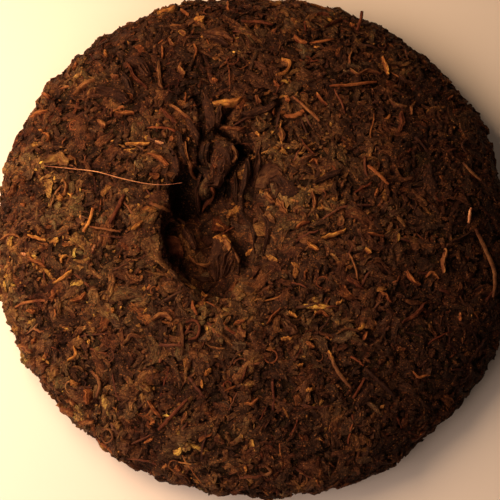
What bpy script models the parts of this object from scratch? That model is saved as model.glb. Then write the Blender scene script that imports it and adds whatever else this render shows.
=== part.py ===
"""A pressed pu-erh tea cake, lying on its flat face with the dimple of the pressing cloth up.

Metres, +Z up. The origin is at the middle of the flat face that the cake rests on. The dimple
lies off-centre, towards -X, and its two deepest creases run out towards +Y.

The cake is one solid. A Screw modifier turns its section into a round body, whose rows of
points are then moved by rules: each row's centre and stretch, the uneven rim, the creases that
the knotted cloth left round the dimple, the fold and the lobe of tea in it, and the lumps of
the leaf.
"""
import math
from collections import namedtuple

import bpy
from mathutils import Vector, noise

MM = 0.001

# Driving dimensions
CAKE_RADIUS = 98 * MM
CAKE_HEIGHT = 30 * MM
RIM_HEIGHT = 10 * MM
FLOOR_THICKNESS = 12.5 * MM
REST_FACE_RADIUS = 75 * MM
ANGLE_STEPS = 96
MERGE_DISTANCE = 0.01 * MM

# One ring of the cake: its half-width along X, its height, the centre it is drawn round and how
# many times longer it is along Y. The rings run from the dimple's floor over the dome and the
# rim to the middle of the rest face. rows is how many rows of points it adds to the section.
Ring = namedtuple("Ring", "name radius height centre_x centre_y stretch rows")
RINGS = (
    Ring("floor_middle", 0.0, FLOOR_THICKNESS, -18 * MM, -4 * MM, 1.5, 1),
    Ring("floor_edge", 11 * MM, FLOOR_THICKNESS + 1 * MM, -19 * MM, -5.5 * MM, 1.35, 3),
    Ring("wall_foot", 16 * MM, FLOOR_THICKNESS + 4.5 * MM, -17.5 * MM, -5.5 * MM, 1.2, 3),
    Ring("lip", 22 * MM, CAKE_HEIGHT - 5 * MM, -14 * MM, -5 * MM, 1.07, 5),
    Ring("ridge", 32 * MM, CAKE_HEIGHT - 0.8 * MM, -6.5 * MM, -2 * MM, 1.0, 5),
    Ring("crown", 45 * MM, CAKE_HEIGHT - 0.4 * MM, -3 * MM, -1 * MM, 1.0, 4),
    Ring("dome", 66 * MM, CAKE_HEIGHT - 3 * MM, 0.0, 0.0, 1.0, 5),
    Ring("slope", 84 * MM, CAKE_HEIGHT - 8 * MM, 0.0, 0.0, 1.0, 5),
    Ring("shoulder", 93.5 * MM, RIM_HEIGHT + 7 * MM, 0.0, 0.0, 1.0, 4),
    Ring("rim", CAKE_RADIUS, RIM_HEIGHT, 0.0, 0.0, 1.0, 4),
    Ring("undercut", 95 * MM, 3.6 * MM, 0.0, 0.0, 1.0, 3),
    Ring("foot", 87 * MM, 0.8 * MM, 0.0, 0.0, 1.0, 3),
    Ring("rest_edge", REST_FACE_RADIUS, 0.0, 0.0, 0.0, 1.0, 2),
    Ring("rest_middle", 0.0, 0.0, 0.0, 0.0, 1.0, 3),
)

# One row of the section's points: how far along the section it lies, and its ring's values
Row = namedtuple("Row", "place radius height centre_x centre_y stretch")

# Waves of the outline: how many go round, how high they are against the radius, and where the
# first crest is, in degrees.
Wave = namedtuple("Wave", "count share crest")
RIM_WAVES = (
    Wave(2, 0.0060, 104),
    Wave(3, 0.0060, 41),
    Wave(4, 0.0070, 48),
    Wave(5, 0.0040, 49),
    Wave(6, 0.0035, 42),
    Wave(8, 0.0045, 22),
    Wave(13, 0.0015, 25),
)
DIMPLE_WAVES = (Wave(3, 0.030, 250), Wave(5, 0.025, 40), Wave(9, 0.020, 15))

# Creases of the knotted cloth: the direction from the dimple in degrees, the depth, the
# half-width at the lip in degrees, how far past the lip they run and how far they turn by then.
Crease = namedtuple("Crease", "direction depth half_width reach turn")
CREASES = (
    Crease(88, 4.2 * MM, 5, 26 * MM, -8),
    Crease(112, 4.8 * MM, 6, 32 * MM, -14),
    Crease(62, 1.8 * MM, 8, 18 * MM, -6),
    Crease(34, 1.1 * MM, 9, 14 * MM, -6),
    Crease(138, 1.4 * MM, 7, 14 * MM, -8),
    Crease(166, 0.9 * MM, 8, 12 * MM, 0),
    Crease(214, 0.9 * MM, 8, 13 * MM, 6),
    Crease(258, 1.3 * MM, 8, 15 * MM, 6),
    Crease(302, 1.3 * MM, 9, 15 * MM, 5),
    Crease(340, 0.9 * MM, 9, 12 * MM, 0),
)

# How far before the lip a crease starts, and the share of its width that it loses by its end
CREASE_START = 9 * MM
CREASE_NARROWING = 0.35

# The fold of tea that hangs into the dimple between the two deepest creases
FOLD_DIRECTION = math.radians(100)
FOLD_HALF_WIDTH = 9
FOLD_SHARE = 0.18

# The lobe of tea that stands on the dimple's floor, steeper on its right side
LOBE_MIDDLE = (-10.5 * MM, -6.5 * MM)
LOBE_HEIGHT = 3.8 * MM
LOBE_LENGTH = 11 * MM
LOBE_LEFT_WIDTH = 8 * MM
LOBE_RIGHT_WIDTH = 2.6 * MM
LOBE_DIRECTION = math.radians(-56)

# Lumps of the pressed leaf: the distance between them and how far they stand out. They fade
# out below LUMPS_FULL_HEIGHT, so that the rest face stays flat.
LUMPS = ((34 * MM, 0.8 * MM), (13 * MM, 0.55 * MM), (6.5 * MM, 0.3 * MM))
LUMP_SHIFT = Vector((3.1, 7.7, 1.3))
LUMPS_FULL_HEIGHT = 3 * MM

TEA_COLOUR = (0.055, 0.026, 0.013, 1.0)
TEA_ROUGHNESS = 0.72


def clear_scene():
    for found in list(bpy.data.objects):
        bpy.data.objects.remove(found)


def smooth_step(low, high, value):
    """0 below low, 1 above high, and a smooth rise between them."""
    share = min(max((value - low) / (high - low), 0.0), 1.0)
    return share * share * (3 - 2 * share)


def slopes_of(places, values):
    """The slope at each value of a curve through them that never overshoots."""
    steps = [
        (values[i + 1] - values[i]) / (places[i + 1] - places[i]) for i in range(len(values) - 1)
    ]
    slopes = [steps[0]]
    for before, after in zip(steps, steps[1:]):
        rising = before * after > 0
        slopes.append(2 * before * after / (before + after) if rising else 0.0)
    return slopes + [steps[-1]]


def curve_value(place, places, values, slopes):
    """The value at a place on the curve through all the values."""
    i = max(k for k in range(len(places) - 1) if places[k] <= place)
    length = places[i + 1] - places[i]
    t = (place - places[i]) / length
    start = (1 + 2 * t) * (1 - t) ** 2 * values[i] + t * (1 - t) ** 2 * length * slopes[i]
    end = t * t * (3 - 2 * t) * values[i + 1] + t * t * (t - 1) * length * slopes[i + 1]
    return start + end


def ring_places():
    """How far along the section each named ring lies."""
    places = [0.0]
    for before, after in zip(RINGS, RINGS[1:]):
        run = math.hypot(after.radius - before.radius, after.height - before.height)
        places.append(places[-1] + run)
    return places


def section_rows():
    """Every row of the section's points, on smooth curves through the named rings."""
    places = ring_places()
    columns = [[getattr(ring, field) for ring in RINGS] for field in Row._fields[1:]]
    slopes = [slopes_of(places, column) for column in columns]
    found = [0.0]
    for start, end, ring in zip(places, places[1:], RINGS[1:]):
        found += [start + (end - start) * (row + 1) / ring.rows for row in range(ring.rows)]
    rows = []
    for place in found:
        values = [curve_value(place, places, *pair) for pair in zip(columns, slopes)]
        rows.append(Row(place, *values))
    return rows


def turned_body(rows):
    """The plain round body: the section's rows, turned by a Screw modifier."""
    mesh = bpy.data.meshes.new("tea_cake_section")
    corners = [(row.radius, 0.0, row.height) for row in rows]
    mesh.from_pydata(corners, [(i, i + 1) for i in range(len(corners) - 1)], [])
    numbers = mesh.attributes.new("row", "FLOAT", "POINT")
    for i in range(len(corners)):
        numbers.data[i].value = i
    section = bpy.data.objects.new("tea_cake_section", mesh)
    bpy.context.scene.collection.objects.link(section)
    turn = section.modifiers.new("Turn", "SCREW")
    turn.axis = "Z"
    turn.steps = turn.render_steps = ANGLE_STEPS
    turn.use_merge_vertices = True
    turn.merge_threshold = MERGE_DISTANCE
    turned = section.evaluated_get(bpy.context.evaluated_depsgraph_get())
    body = bpy.data.meshes.new_from_object(turned)
    bpy.data.objects.remove(section)
    return body


def wave_factor(waves, angle):
    return 1 + sum(
        wave.share * math.cos(wave.count * (angle - math.radians(wave.crest))) for wave in waves
    )


def angle_between(first, second):
    """The angle from one direction to another, from -180 to 180 degrees."""
    return math.degrees(math.remainder(first - second, 2 * math.pi))


def crease_depth(angle, past_lip):
    """How far the creases sink the surface at this angle and this far past the dimple's lip."""
    sunk = 0.0
    for crease in CREASES:
        inner = smooth_step(-CREASE_START, 0.0, past_lip)
        outer = smooth_step(0.0, crease.reach, past_lip)
        direction = math.radians(crease.direction + crease.turn * outer)
        half_width = crease.half_width * (1 - CREASE_NARROWING * outer)
        aside = angle_between(angle, direction) / half_width
        sunk += crease.depth * inner * (1 - outer) * math.exp(-aside * aside)
    return sunk


def lobe_rise(x, y):
    """How far the lobe raises the dimple's floor at this point."""
    dx, dy = x - LOBE_MIDDLE[0], y - LOBE_MIDDLE[1]
    along = dx * math.cos(LOBE_DIRECTION) + dy * math.sin(LOBE_DIRECTION)
    across = dy * math.cos(LOBE_DIRECTION) - dx * math.sin(LOBE_DIRECTION)
    width = LOBE_RIGHT_WIDTH if across > 0 else LOBE_LEFT_WIDTH
    return LOBE_HEIGHT * math.exp(-((along / LOBE_LENGTH) ** 2) - (across / width) ** 2)


def shape_rows(body, rows):
    """Moves each point of the round body to where its row's rules put it."""
    places = dict(zip([ring.name for ring in RINGS], ring_places()))
    row_numbers = [round(item.value) for item in body.attributes["row"].data]
    for vertex, number in zip(body.vertices, row_numbers):
        row = rows[number]
        angle = math.atan2(vertex.co.y, vertex.co.x)
        in_dimple = 1 - smooth_step(places["ridge"], places["dome"], row.place)
        on_rim = smooth_step(places["crown"], places["slope"], row.place)
        on_rim *= 1 - smooth_step(places["foot"], places["rest_middle"], row.place)
        on_wall = smooth_step(places["floor_edge"], places["wall_foot"], row.place)
        on_wall *= 1 - smooth_step(places["lip"], places["ridge"], row.place)
        aside = angle_between(angle, FOLD_DIRECTION) / FOLD_HALF_WIDTH
        radius = row.radius * (1 - on_wall * FOLD_SHARE * math.exp(-aside * aside))
        radius *= 1 + in_dimple * (wave_factor(DIMPLE_WAVES, angle) - 1)
        radius *= 1 + on_rim * (wave_factor(RIM_WAVES, angle) - 1)
        x = row.centre_x + radius * math.cos(angle)
        y = row.centre_y + radius * row.stretch * math.sin(angle)
        on_floor = 1 - smooth_step(places["wall_foot"], places["lip"], row.place)
        height = row.height - crease_depth(angle, row.place - places["lip"])
        vertex.co = (x, y, height + on_floor * lobe_rise(x, y))


def lump_height(point):
    """How far the lumps of leaf raise the surface at this point."""
    return sum(reach * noise.noise(point / spacing + LUMP_SHIFT) for spacing, reach in LUMPS)


def add_lumps(body):
    """Swells and sinks the surface along its normals. The rest face stays flat."""
    body.update()
    moves = []
    for vertex in body.vertices:
        free = smooth_step(0.0, LUMPS_FULL_HEIGHT, vertex.co.z)
        moves.append(vertex.normal * lump_height(vertex.co) * free)
    for vertex, move in zip(body.vertices, moves):
        vertex.co += move
    body.update()


def centre_on_origin(body):
    """Moves the body along X and Y until the middle of its box is over the origin."""
    for axis in (0, 1):
        values = [vertex.co[axis] for vertex in body.vertices]
        middle = (min(values) + max(values)) / 2
        for vertex in body.vertices:
            vertex.co[axis] -= middle
    body.update()


def tea_material():
    material = bpy.data.materials.new("pressed_tea")
    material.use_nodes = True
    shader = material.node_tree.nodes["Principled BSDF"]
    shader.inputs["Base Color"].default_value = TEA_COLOUR
    shader.inputs["Roughness"].default_value = TEA_ROUGHNESS
    shader.inputs["Metallic"].default_value = 0.0
    return material


def build_cake():
    rows = section_rows()
    body = turned_body(rows)
    body.name = "tea_cake"
    shape_rows(body, rows)
    add_lumps(body)
    centre_on_origin(body)
    body.attributes.remove(body.attributes["row"])
    body.materials.append(tea_material())
    body.shade_smooth()
    cake = bpy.data.objects.new("tea_cake", body)
    parts = bpy.data.collections.new("pu_erh_tea_cake")
    bpy.context.scene.collection.children.link(parts)
    parts.objects.link(cake)


def main():
    clear_scene()
    build_cake()


main()
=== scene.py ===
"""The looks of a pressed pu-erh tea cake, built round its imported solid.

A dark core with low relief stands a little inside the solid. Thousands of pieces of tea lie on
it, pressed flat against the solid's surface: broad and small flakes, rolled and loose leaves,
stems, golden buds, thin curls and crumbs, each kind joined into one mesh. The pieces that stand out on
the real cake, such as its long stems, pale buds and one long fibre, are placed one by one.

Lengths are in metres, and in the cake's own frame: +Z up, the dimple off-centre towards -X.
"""
import math
from collections import namedtuple

import bmesh
import bpy
import numpy as np
from mathutils import Matrix, Vector, noise
from mathutils.bvhtree import BVHTree


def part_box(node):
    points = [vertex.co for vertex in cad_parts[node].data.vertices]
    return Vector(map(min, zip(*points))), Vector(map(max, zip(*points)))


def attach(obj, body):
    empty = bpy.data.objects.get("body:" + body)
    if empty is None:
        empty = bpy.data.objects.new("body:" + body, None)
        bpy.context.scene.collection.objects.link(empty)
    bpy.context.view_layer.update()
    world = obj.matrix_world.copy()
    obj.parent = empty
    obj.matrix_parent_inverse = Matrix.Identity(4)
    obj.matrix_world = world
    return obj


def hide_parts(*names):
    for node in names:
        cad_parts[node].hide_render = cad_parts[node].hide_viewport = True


MM = 0.001


def mm(*lengths):
    """Lengths given in millimetres, in metres."""
    return tuple(length * MM for length in lengths)


# The seed of every random draw. Without one, noise_vector would differ from run to run.
SEED = 357
noise.seed_set(SEED)

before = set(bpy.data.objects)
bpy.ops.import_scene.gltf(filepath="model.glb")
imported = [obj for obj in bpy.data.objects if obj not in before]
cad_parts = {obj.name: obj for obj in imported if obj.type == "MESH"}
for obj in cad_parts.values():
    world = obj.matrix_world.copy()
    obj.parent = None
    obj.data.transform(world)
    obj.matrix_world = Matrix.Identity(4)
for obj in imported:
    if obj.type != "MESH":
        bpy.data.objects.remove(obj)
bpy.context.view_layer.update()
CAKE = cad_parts["tea_cake"]
LOW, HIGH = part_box("tea_cake")
CAKE_HEIGHT = HIGH.z

# The surface that the pieces lie on, and the core under them
SKIN_FACE = 1.5 * MM
CORE_FACE = 1.05 * MM
CORE_INSET = 0.9 * MM
PRESSED_DEPTH = 0.45 * MM
HIGHEST = CAKE_HEIGHT + 0.7 * MM
RIM_LEVEL = 11 * MM

# The dimple's middle and radius, the width of its soft edge, how far out leaves lean down
# towards it, and the height over which places are on the cake's upper side
DIMPLE_MIDDLE = mm(-15, -4)
DIMPLE_RADIUS = 22 * MM
DIMPLE_EDGE = 4 * MM
DIMPLE_REACH = 30 * MM
UPPER_SIDE = 8 * MM

# How steeply a loose stem falls where nothing holds it up
LEAST_FALL = 0.05
# The density of leaf on the underside, against the rest of the cake
UNDERSIDE_SHARE = 0.5
# Each piece's wrinkles start at a place of their own, up to this far off in millimetres
FIBRE_OFFSETS = (0, 400)

# Cracks (rise below 0) and folds of the tea in and round the dimple. Each row is its rise, its
# half width and the stops of its route, seen from above, all in millimetres.
Ridge = namedtuple("Ridge", "rise half_width route")
RELIEF = [Ridge(rise * MM, half_width * MM, route) for rise, half_width, *route in (
    # Cracks beside and under the trunk of leaf behind the dimple
    (-3.5, 1.7, (-23, 49), (-21, 43), (-20, 38), (-20, 33), (-21, 27)),
    (-2.5, 1.4, (-13, 38), (-12, 41), (-9, 45)),
    (-3.5, 1.8, (-18, 33), (-15, 36), (-12, 34), (-9, 31), (-7, 29), (-3, 28)),
    # Cracks and holes beside the fold that hangs into the dimple
    (-5.0, 2.6, (-6, 27), (-8, 24), (-11, 21), (-12, 19), (-14, 17), (-16, 14)),
    (-4.0, 3.4, (-15, 15), (-12, 14)),
    (-4.5, 6.0, (-25, 17), (-29, 11), (-28, 7), (-22, 9)),
    (-3.0, 1.6, (-21, 27), (-21, 23), (-20, 19)),
    # The foot of the left wall, the pocket, and the foot of the front wall
    (-2.5, 2.0, (-33, 3), (-33, -3), (-33, -9)),
    (-3.0, 2.6, (-30, -12), (-27, -14), (-25, -15)),
    (-2.5, 2.0, (-25, -19), (-21, -20), (-18, -23), (-13, -26), (-9, -27)),
    # The crack right of the lobe, the hollow in the floor, and a crack on the right wall
    (-4.0, 1.9, (-10, -1), (-8, -4), (-6, -8), (-4, -12), (-6, -16)),
    (-2.5, 3.0, (-20, 3), (-17, -1), (-19, -4)),
    (-1.8, 1.4, (0, 25), (-1, 21), (-2, 17), (-3, 11), (-3, 6), (1, 2), (2, -4)),
    # A hollow behind the dimple
    (-2.0, 2.0, (9, 48), (7, 44), (6, 42)),
    # The hanging fold, the trunk, the lump over the fold, and the leaf on the lip
    (2.5, 4.5, (-14, 28), (-15, 23), (-16, 19), (-18, 15)),
    (1.3, 4.0, (-17, 46), (-16, 40), (-16, 37)),
    (1.6, 3.0, (-18, 30), (-15, 31), (-11, 29)),
    (1.3, 2.2, (-33, 27), (-30, 22), (-30, 18), (-32, 13), (-34, 7)),
    # The floor's mound, shelf and ledge, the lobe's crest, and the fold on the right wall
    (4.5, 5.0, (-29, 2), (-27, -1), (-24, -5), (-22, -8)),
    (3.0, 3.5, (-31, -5), (-29, -9)),
    (2.0, 3.0, (-24, -11), (-21, -13), (-18, -12)),
    (1.6, 2.0, (-15, -3), (-12, -4), (-10, -6), (-8, -10), (-6, -12)),
    (1.6, 2.4, (-4, 21), (-5, 14), (-5, 8), (-1, 2), (0, -4), (0, -10)),
)]
# The middle of the rectangle that they lie in, and how far it reaches to its sides
RELIEF_MIDDLE = mm(-13, 11)
RELIEF_REACH = mm(26, 42)


# ---------------------------------------------------------------- colours

def linear(red, green, blue):
    """A colour given as 0 to 255 values, as the shader's linear light."""
    values = np.array([red, green, blue]) / 255
    return tuple(np.where(values <= 0.04045, values / 12.92, ((values + 0.055) / 1.055) ** 2.4))


PALETTES = {
    "dark": ((50, 22, 13), (60, 27, 16), (74, 34, 20), (56, 26, 16), (87, 41, 22)),
    "red": ((76, 33, 17), (90, 37, 17)),
    # The grey pieces are painted sheen: greyish brown for the sheen on flattened leaf
    "grey": ((68, 37, 25), (77, 43, 29)),
    "tan": ((110, 57, 27), (128, 69, 32)),
    "gold": ((154, 93, 38), (172, 108, 48), (142, 82, 33)),
}
PALETTES = {name: np.array([linear(*colour) for colour in colours]) for name, colours in PALETTES.items()}
CORE_COLOUR = linear(56, 33, 19)
# The colour that specks of paler leaf add to the leaf that they lie on
SPECKLE = linear(166, 99, 48)

# Colours of the pieces that are placed one by one
HAND_COLOURS = {
    "dark": linear(43, 20, 11), "brown": linear(52, 24, 13), "red": linear(86, 38, 18),
    "grey": linear(88, 52, 28), "olive": linear(116, 74, 34), "orange": linear(134, 72, 32),
    "umber": linear(100, 58, 29), "tan": linear(124, 72, 35), "gold": linear(178, 112, 47),
    "fibre": linear(194, 124, 76), "pale": linear(206, 137, 82),
}


def rising(values, start, length):
    """0 up to the start, then rising to 1 over the length."""
    return np.clip((values - start) / length, 0, 1)


def falling(values, end, length):
    """1 at first, then falling over the length to 0 at the end."""
    return np.clip((end - values) / length, 0, 1)


def from_dimple(places):
    """How far places are from the dimple's middle, seen from above."""
    return np.hypot(places[..., 0] - DIMPLE_MIDDLE[0], places[..., 1] - DIMPLE_MIDDLE[1])


def in_dimple(places):
    """1 in the dimple, 0 outside its soft edge."""
    return falling(from_dimple(places), DIMPLE_RADIUS, DIMPLE_EDGE)


def patch_tone_and_painted_light(places):
    """Brightness of the patches, some dark and some light, that the leaf lies in, times painted
    shade and painted light by place: painted shade makes the leaf towards +X, most of all near -Y,
    at the far left and in the dimple darker, and painted light makes the leaf at the left, in
    front and right of the dimple lighter."""
    shades = []
    for x, y, z in places.tolist():
        wide = noise.noise((x * 45 + 3, y * 45, z * 45))
        near = noise.noise((x * 130, y * 130 + 7, z * 130))
        shades.append(1 + 0.7 * wide + 0.7 * near)
    x, y = places[:, 0], places[:, 1]
    # Painted shade towards +X, at the back on the left and in the dimple; painted light at the far left and
    # in front
    darker = 0.45 * rising(x, 28 * MM, 40 * MM) * (1 - 0.25 * np.clip(y / (60 * MM), -1, 1))
    darker += 0.3 * rising(-x, 0, 40 * MM) * rising(y, 20 * MM, 30 * MM)
    darker -= 0.2 * rising(-x, 35 * MM, 30 * MM)
    darker -= 0.1 * rising(-y, 50 * MM, 30 * MM)
    darker += 0.38 * in_dimple(places)
    # Painted light right of the dimple
    middle = 0.15 * np.clip(1.6 - np.hypot(x - 15 * MM, y) / (45 * MM), 0, 1)
    return np.clip(shades, 0.45, 1.7) * (1 - darker + middle)


def toned(shares):
    """Colour factors for brightness factors: darker leaf is redder too, and lighter yellower."""
    return np.stack([shares, shares ** 1.42, shares ** 1.15], axis=-1)


def pick_colours(random, places, normals, shares):
    """One colour for each piece, from palettes with the shares given, each a little off, in the
    patches' tone and painted light, with painted shade on the rim and on faces turned away from the light.
    """
    count = len(places)
    names = list(shares)
    chances = np.array([shares[name] for name in names], float)
    chosen = random.choice(len(names), count, p=chances / chances.sum())
    colours = np.zeros((count, 3))
    for number, name in enumerate(names):
        palette = PALETTES[name]
        here = chosen == number
        colours[here] = palette[random.integers(len(palette), size=here.sum())]
    colours = colours * toned(random.uniform(0.7, 1.25, count)) * random.uniform(0.95, 1.05, (count, 3))
    # Painted shade on faces turned towards +X and -Y, away from the light, and a little on the sideways rim
    away_from_light = np.clip(0.75 * normals[:, 0] - 0.65 * normals[:, 1] - 0.15, 0, 1)
    return colours * toned(1.12 * patch_tone_and_painted_light(places) * (1 - 0.12 * rim_share(normals)) * (1 - 0.75 * away_from_light))


# ---------------------------------------------------------------- skin

def unit(vectors):
    return vectors / np.maximum(np.linalg.norm(vectors, axis=-1, keepdims=True), 1e-12)


def remeshed_cake(name, face):
    """A copy of the cake's solid with even faces of the size given."""
    copy = bpy.data.objects.new(name, CAKE.data.copy())
    bpy.context.scene.collection.objects.link(copy)
    shape = bmesh.new()
    shape.from_mesh(copy.data)
    bmesh.ops.remove_doubles(shape, verts=shape.verts, dist=0.001 * MM)
    shape.to_mesh(copy.data)
    shape.free()
    remesh = copy.modifiers.new("Even", "REMESH")
    remesh.mode = "VOXEL"
    remesh.voxel_size = face
    smooth = copy.modifiers.new("Smooth", "SMOOTH")
    smooth.factor = 0.5
    smooth.iterations = 2
    even = bpy.data.meshes.new_from_object(copy.evaluated_get(bpy.context.evaluated_depsgraph_get()))
    bpy.data.objects.remove(copy)
    even.name = name
    return even


def fetched(items, name, width=1, kind=float):
    """One property of all of a mesh's items, as an array."""
    values = np.zeros(len(items) * width, kind)
    items.foreach_get(name, values)
    return values.reshape(-1, width) if width > 1 else values


def mesh_arrays(mesh):
    """The mesh's corners, their normals, and its triangles, as arrays."""
    mesh.calc_loop_triangles()
    return (
        fetched(mesh.vertices, "co", 3),
        fetched(mesh.vertex_normals, "vector", 3),
        fetched(mesh.loop_triangles, "vertices", 3, int),
    )


def add_tint(mesh, colours):
    """The corners' colours, kept on the mesh for its material."""
    tint = mesh.color_attributes.new("tint", "FLOAT_COLOR", "POINT")
    colours = colours.reshape(-1, 3)
    tint.data.foreach_set("color", np.c_[colours, np.ones(len(colours))].astype("f").ravel())


def add_map(mesh, name, places):
    mesh.uv_layers.new(name=name).uv.foreach_set("vector", places.astype("f").ravel())


class Skin:
    """The cake's smooth surface: gives spots spread over it, and the nearest place to a point."""

    def __init__(self):
        mesh = remeshed_cake("skin", SKIN_FACE)
        self.corners, self.normals, self.triangles = mesh_arrays(mesh)
        self.tree = BVHTree.FromPolygons(self.corners.tolist(), self.triangles.tolist())
        a, b, c = (self.corners[self.triangles[:, i]] for i in range(3))
        self.areas = np.linalg.norm(np.cross(b - a, c - a), axis=1) / 2
        bpy.data.meshes.remove(mesh)

    def normals_at(self, places, faces):
        """Smooth normals at places on the triangles given."""
        a, b, c = (self.corners[self.triangles[faces, i]] for i in range(3))
        whole = np.linalg.norm(np.cross(b - a, c - a), axis=1)
        shares = [
            np.linalg.norm(np.cross(c - b, places - b), axis=1) / whole,
            np.linalg.norm(np.cross(a - c, places - c), axis=1) / whole,
            np.linalg.norm(np.cross(b - a, places - a), axis=1) / whole,
        ]
        normals = sum(
            share[:, None] * self.normals[self.triangles[faces, i]] for i, share in enumerate(shares)
        )
        return unit(normals)

    def nearest(self, points):
        """The nearest places on the skin to points, and the normals there."""
        find = self.tree.find_nearest
        found = [find(point) for point in points.reshape(-1, 3).tolist()]
        places = np.array([hit[0] for hit in found])
        faces = np.array([hit[2] for hit in found])
        normals = self.normals_at(places, faces)
        return places.reshape(points.shape), normals.reshape(points.shape)

    def top(self, x, y):
        """The places on the cake's upper side at x and y, and the normals there."""
        places, faces = [], []
        for point in zip(x.ravel().tolist(), y.ravel().tolist()):
            place, _, face, _ = self.tree.ray_cast(Vector((*point, 1.0)), Vector((0, 0, -1)))
            if place is None:
                place, _, face, _ = self.tree.find_nearest(Vector((*point, RIM_LEVEL)))
            places.append(place)
            faces.append(face)
        places = np.array(places)
        normals = self.normals_at(places, np.array(faces))
        return places.reshape(*x.shape, 3), normals.reshape(*x.shape, 3)

    def spots(self, random, count):
        """Evenly spread places and their normals, fewer of them on the underside."""
        middles = self.corners[self.triangles].mean(axis=1)
        down = self.normals[self.triangles[:, 0], 2] < -0.6
        weights = self.areas * np.where(down, UNDERSIDE_SHARE, 1.0)
        faces = random.choice(len(weights), count * 8, p=weights / weights.sum())
        first, second = np.sqrt(random.random(len(faces))), random.random(len(faces))
        a, b, c = (self.corners[self.triangles[faces, i]] for i in range(3))
        shares = (1 - first, first * (1 - second), first * second)
        places = sum(share[:, None] * corner for share, corner in zip(shares, (a, b, c)))
        cell = math.sqrt(weights.sum() / count) * 0.82
        size = np.where(down[faces], cell / math.sqrt(UNDERSIDE_SHARE), cell)
        cells = np.floor(places / size[:, None] + random.random(3)).astype(int)
        kept = np.sort(np.unique(np.c_[cells, down[faces]], axis=0, return_index=True)[1])
        random.shuffle(kept)
        kept = kept[:count]
        return places[kept], self.normals_at(places[kept], faces[kept])


SKIN = Skin()


# ---------------------------------------------------------------- laying pieces

def down_the_dimple(places):
    """1 at the dimple's wall, 0 away from it."""
    return falling(from_dimple(places), DIMPLE_REACH, 8 * MM)


def headings(random, places, normals):
    """The way each piece points, and the way across it, along the surface."""
    wish = unit(random.normal(size=places.shape))
    steep = down_the_dimple(places) * (normals[:, 2] < 0.93)
    wish[:, 2] -= 1.6 * steep
    along = unit(wish - normals * (wish * normals).sum(axis=1, keepdims=True))
    return along, np.cross(normals, along)


def crack_relief(points):
    """How far the cracks sink and the folds raise the top at each point."""
    spread = points.reshape(-1, 3)
    heights = np.zeros(len(spread))
    middle, reach = np.array(RELIEF_MIDDLE), np.array(RELIEF_REACH)
    near = np.all(np.abs(spread[:, :2] - middle) < reach, axis=1) & (spread[:, 2] > UPPER_SIDE)
    places = spread[near]
    wander = np.array([noise.noise((x * 300, y * 300, 3)) for x, y, _ in places.tolist()])
    sums = np.zeros(len(places))
    for ridge in RELIEF:
        route = np.array(ridge.route) * MM
        away = np.full(len(places), np.inf)
        for start, end in zip(route, route[1:]):
            run = end - start
            share = np.clip((places[:, :2] - start) @ run / (run @ run), 0, 1)
            away = np.minimum(away, np.linalg.norm(places[:, :2] - start - share[:, None] * run, axis=1))
        inside = np.clip(1 - away * (1 + 0.5 * wander) / ridge.half_width, 0, 1)
        sums += ridge.rise * inside * inside * (3 - 2 * inside)
    heights[near] = sums
    return heights.reshape(points.shape[:-1])


def rim_share(ups):
    """1 where the surface looks sideways, as at the rim, 0 on the cake's two faces."""
    return falling(np.abs(ups[..., 2]), 0.8, 0.35)


def left_share(places):
    """1 at the cake's left side, where the leaf is lumpier, 0 on the rest."""
    return rising(-places[..., 0], 30 * MM, 35 * MM)


def unpressed(places, ups):
    """1 at the rim and in the dimple, which the press doesn't reach, 0 elsewhere."""
    hollow = in_dimple(places) * (places[..., 2] > UPPER_SIDE)
    return np.maximum(rim_share(ups), 0.7 * hollow)


def relief(points, ups):
    """How far the lumps, folds and cracks that the pressed pieces have in common raise or sink
    each point. They are deeper where the press doesn't reach."""
    lumps = []
    for x, y, z in points.reshape(-1, 3).tolist():
        broad = noise.noise((x * 95 + 9, y * 95, z * 95))
        wide = noise.noise((x * 260, y * 260, z * 260))
        fine = noise.noise((x * 640 + 5, y * 640, z * 640))
        lumps.append(0.6 * broad + 0.45 * wide + 0.1 * fine)
    lumps = np.array(lumps).reshape(points.shape[:-1]) * MM
    swell = np.maximum(1.6 * unpressed(points, ups), 0.8 * left_share(points))
    return lumps * (1 + swell) + crack_relief(points)


def painted_relief_shade(rises):
    """Colour factor of painted shade: dark where the leaf is sunk in cracks and hollows, lighter where it
    stands out.
    """
    return np.clip(1 + rises / (1.7 * MM), 0.1, 1.35)


def thinned(random, spots, share):
    """Spots with only that share of those in the dimple kept."""
    places, normals = spots
    kept = random.random(len(places)) > down_the_dimple(places) * (1 - share)
    return places[kept], normals[kept]


def left_loose(spots):
    """Only the spots at the rim and in the dimple."""
    places, normals = spots
    kept = unpressed(places, normals) > 0.2
    return places[kept], normals[kept]


def pressed(points, random, normals):
    """Points pushed up level with the table where they would reach below it, each piece to a
    level of its own, and kept under the cake's highest level."""
    levels = random.uniform(0.0, PRESSED_DEPTH, (len(points), 1))
    under = normals[:, 2:3] < -0.3
    points[..., 2] = np.maximum(points[..., 2], np.where(under, levels, 0.02 * MM))
    points[..., 2] = np.minimum(points[..., 2], HIGHEST)
    return points


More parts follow.
